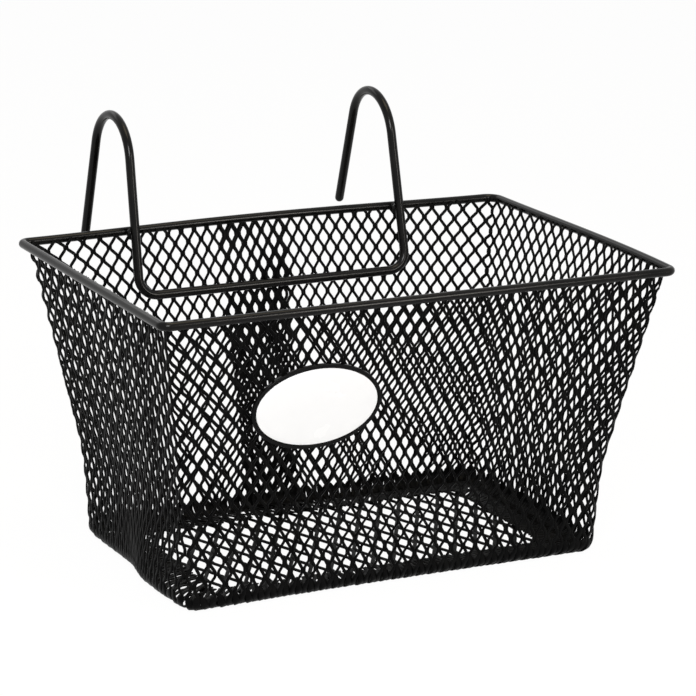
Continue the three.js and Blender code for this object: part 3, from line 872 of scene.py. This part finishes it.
def oval_rings(profile):
    """Surface of ovals at each (inset from the edge, height) of a profile, closed at both ends."""
    angle = np.linspace(0, 2 * math.pi, OVAL_SIDES, endpoint=False)
    vertices = []
    for inset, height in profile:
        vertices.append(np.column_stack([
            (PLATE_LENGTH / 2 - inset) * np.cos(angle),
            (PLATE_WIDTH / 2 - inset) * np.sin(angle),
            np.full(OVAL_SIDES, height),
        ]))
    index = np.arange(len(profile) * OVAL_SIDES).reshape(len(profile), OVAL_SIDES)
    ahead = np.roll(index, -1, axis=1)
    quads = np.stack([index[:-1], ahead[:-1], ahead[1:], index[1:]], axis=-1).reshape(-1, 4)
    faces = quads.tolist()
    faces.append(index[0][::-1].tolist())
    faces.append(index[-1].tolist())
    return np.concatenate(vertices), faces


def round_edge(inset, height, radius, start, end, steps=6):
    turn = np.radians(np.linspace(start, end, steps))
    return [(inset - radius * math.cos(a), height + radius * math.sin(a)) for a in turn]


def box_part(centre, size):
    x, y, z = (s / 2 for s in size)
    corners = [(sx * x, sy * y, sz * z) for sz in (-1, 1) for sy in (-1, 1) for sx in (-1, 1)]
    vertices = np.array(corners) + np.array(centre)
    faces = [[0, 2, 3, 1], [4, 5, 7, 6], [0, 1, 5, 4], [2, 6, 7, 3], [0, 4, 6, 2], [1, 3, 7, 5]]
    return vertices, faces


def tray_piece():
    bezel = PLATE_BEZEL / 2
    inner = PLATE_LENGTH / 5
    profile = [(inner, PLATE_SEAT), (PLATE_EDGE * 2, PLATE_SEAT)]
    profile += round_edge(PLATE_EDGE, PLATE_SEAT + PLATE_EDGE, PLATE_EDGE, -90, 0)
    profile += round_edge(bezel, PLATE_TOP - bezel * BEAD_DEPTH, bezel, 0, 180, 15)
    profile = [(i, min(h, PLATE_TOP)) for i, h in profile]
    profile += [(PLATE_BEZEL, PLATE_TOP - PLATE_RECESS), (inner, PLATE_TOP - PLATE_RECESS)]
    vertices, faces = oval_rings(profile)
    behind = -PLATE_SEAT - TAB_THICKNESS
    for side in (-1, 1):
        stem = box_part((side * TAB_SPACING / 2, 0, (behind + PLATE_SEAT) / 2),
                        (TAB_THICKNESS, TAB_WIDTH, PLATE_SEAT - behind + TAB_THICKNESS))
        fold = box_part((side * (TAB_SPACING + TAB_FOLD) / 2, 0, behind + TAB_THICKNESS / 2),
                        (TAB_FOLD, TAB_WIDTH, TAB_THICKNESS))
        for part_vertices, part_faces in (stem, fold):
            faces += [[len(vertices) + i for i in face] for face in part_faces]
            vertices = np.concatenate([vertices, part_vertices])
    add_piece("plate", on_plate(vertices), faces, plate_paint, "plate_paint", "plate_tray")


def face_piece():
    edge = PLATE_BEZEL + CLEARANCE
    low = PLATE_TOP - PLATE_RECESS + CLEARANCE
    high = low + PLATE_FACE
    round_off = PLATE_FACE / 2
    inner = PLATE_WIDTH * 0.4
    profile = [(inner, low), (edge + round_off, low)]
    profile += round_edge(edge + round_off, low + round_off, round_off, -90, 90, 9)
    for share in (0.2, 0.4, 0.6, 0.8, 0.95):
        inset = edge + (PLATE_WIDTH / 2 - edge) * share
        profile.append((inset, high + PLATE_DOME * (1 - (1 - share) ** 2)))
    vertices, faces = oval_rings(profile)
    add_piece("plate_white", on_plate(vertices), faces, plate_enamel, "plate_enamel", "plate_face")


tray_piece()
face_piece()


# Floor, light and camera

STAGE_REACH = 6.0
STAGE_DROP = 0.2 * MM
STAGE_GREY = 0.5
STAGE_ROUGHNESS = 0.9
STAGE_GLOW = 1.07
STAGE_GLOW_SHARE = 0.9
WORLD_LIGHT = 0.06
WORLD_SEEN = 1.0


def seen_directly(tree):
    """1 for rays from the camera, a reflection or a clear piece, and 0 for light that falls on things."""
    path = tree.nodes.new("ShaderNodeLightPath")
    total = path.outputs["Is Camera Ray"]
    for kind in ("Is Glossy Ray", "Is Transmission Ray"):
        either = tree.nodes.new("ShaderNodeMath")
        either.operation = "MAXIMUM"
        tree.links.new(total, either.inputs[0])
        tree.links.new(path.outputs[kind], either.inputs[1])
        total = either.outputs[0]
    return total


def stage_floor():
    mesh = bpy.data.meshes.new("floor")
    corners = [(-1, -1), (1, -1), (1, 1), (-1, 1)]
    vertices = [(x * STAGE_REACH, y * STAGE_REACH, -STAGE_DROP) for x, y in corners]
    mesh.from_pydata(vertices, [], [(0, 1, 2, 3)])
    floor = bpy.data.objects.new("floor", mesh)
    bpy.context.scene.collection.objects.link(floor)
    material, tree, shader = new_material("floor_white")
    shader.inputs["Base Color"].default_value = (STAGE_GREY, STAGE_GREY, STAGE_GREY, 1)
    shader.inputs["Roughness"].default_value = STAGE_ROUGHNESS
    glow = tree.nodes.new("ShaderNodeEmission")
    glow.inputs["Strength"].default_value = STAGE_GLOW
    seen = tree.nodes.new("ShaderNodeMath")
    seen.operation = "MULTIPLY"
    seen.inputs[1].default_value = STAGE_GLOW_SHARE
    mix = tree.nodes.new("ShaderNodeMixShader")
    tree.links.new(seen_directly(tree), seen.inputs[0])
    tree.links.new(seen.outputs[0], mix.inputs["Fac"])
    tree.links.new(shader.outputs["BSDF"], mix.inputs[1])
    tree.links.new(glow.outputs["Emission"], mix.inputs[2])
    tree.links.new(mix.outputs["Shader"], tree.nodes["Material Output"].inputs["Surface"])
    mesh.materials.append(material)


def world_light():
    world = bpy.data.worlds.new("studio")
    bpy.context.scene.world = world
    world.use_nodes = True
    tree = world.node_tree
    background = tree.nodes["Background"]
    background.inputs["Color"].default_value = (1, 1, 1, 1)
    strength = tree.nodes.new("ShaderNodeMapRange")
    strength.inputs["To Min"].default_value = WORLD_LIGHT
    strength.inputs["To Max"].default_value = WORLD_SEEN
    tree.links.new(seen_directly(tree), strength.inputs["Value"])
    tree.links.new(strength.outputs["Result"], background.inputs["Strength"])


def area_light(name, place, target, size, power, colour=(1, 1, 1)):
    data = bpy.data.lights.new(name, "AREA")
    data.shape = "RECTANGLE"
    data.size, data.size_y = size
    data.energy = power
    data.color = colour
    lamp = bpy.data.objects.new(name, data)
    lamp.location = place
    lamp.rotation_euler = (Vector(target) - Vector(place)).to_track_quat("-Z", "Y").to_euler()
    bpy.context.scene.collection.objects.link(lamp)


CAMERA_AZIMUTH = math.radians(-26.04)
CAMERA_ELEVATION = math.radians(14.97)
CAMERA_ROLL = math.radians(0.58)
CAMERA_DISTANCE = 2092.6 * MM
CAMERA_AIM = (0, 0, 90 * MM)
CAMERA_RIGHT = 4.28 * MM
CAMERA_UP = 36.78 * MM
IMAGE_SIZE = 696
FOCAL_PIXELS = 3314.4


def photo_camera():
    data = bpy.data.cameras.new("camera")
    data.sensor_width = 36
    data.lens = data.sensor_width * FOCAL_PIXELS / IMAGE_SIZE
    camera = bpy.data.objects.new("camera", data)
    bpy.context.scene.collection.objects.link(camera)
    bpy.context.scene.camera = camera
    back = Vector((
        math.sin(CAMERA_AZIMUTH) * math.cos(CAMERA_ELEVATION),
        -math.cos(CAMERA_AZIMUTH) * math.cos(CAMERA_ELEVATION),
        math.sin(CAMERA_ELEVATION),
    ))
    level = Vector((math.cos(CAMERA_AZIMUTH), math.sin(CAMERA_AZIMUTH), 0))
    upright = back.cross(level)
    right = level * math.cos(CAMERA_ROLL) + upright * math.sin(CAMERA_ROLL)
    up = upright * math.cos(CAMERA_ROLL) - level * math.sin(CAMERA_ROLL)
    eye = Vector(CAMERA_AIM) + back * CAMERA_DISTANCE + right * CAMERA_RIGHT + up * CAMERA_UP
    turn = Matrix((right, up, back)).transposed().to_4x4()
    camera.matrix_world = Matrix.Translation(eye) @ turn


stage_floor()
world_light()
area_light("key", place=(-0.9, -1.9, 1.5), target=(0, 0, 0.1), size=(0.9, 0.9), power=50)
area_light(
    "side", place=(0.95, -2.0, 0.8), target=(0, 0, 0.15), size=(0.3, 0.8), power=12, colour=(1, 0.95, 0.88),
)
area_light(
    "top", place=(0.2, -0.2, 2.0), target=(0, 0, 0.15), size=(1.0, 1.0), power=12, colour=(1, 0.84, 0.56),
)
area_light("back", place=(-0.6, 1.8, 1.6), target=(0, 0, 0.15), size=(1.6, 0.8), power=5)
photo_camera()
bpy.context.scene.view_settings.view_transform = "Standard"
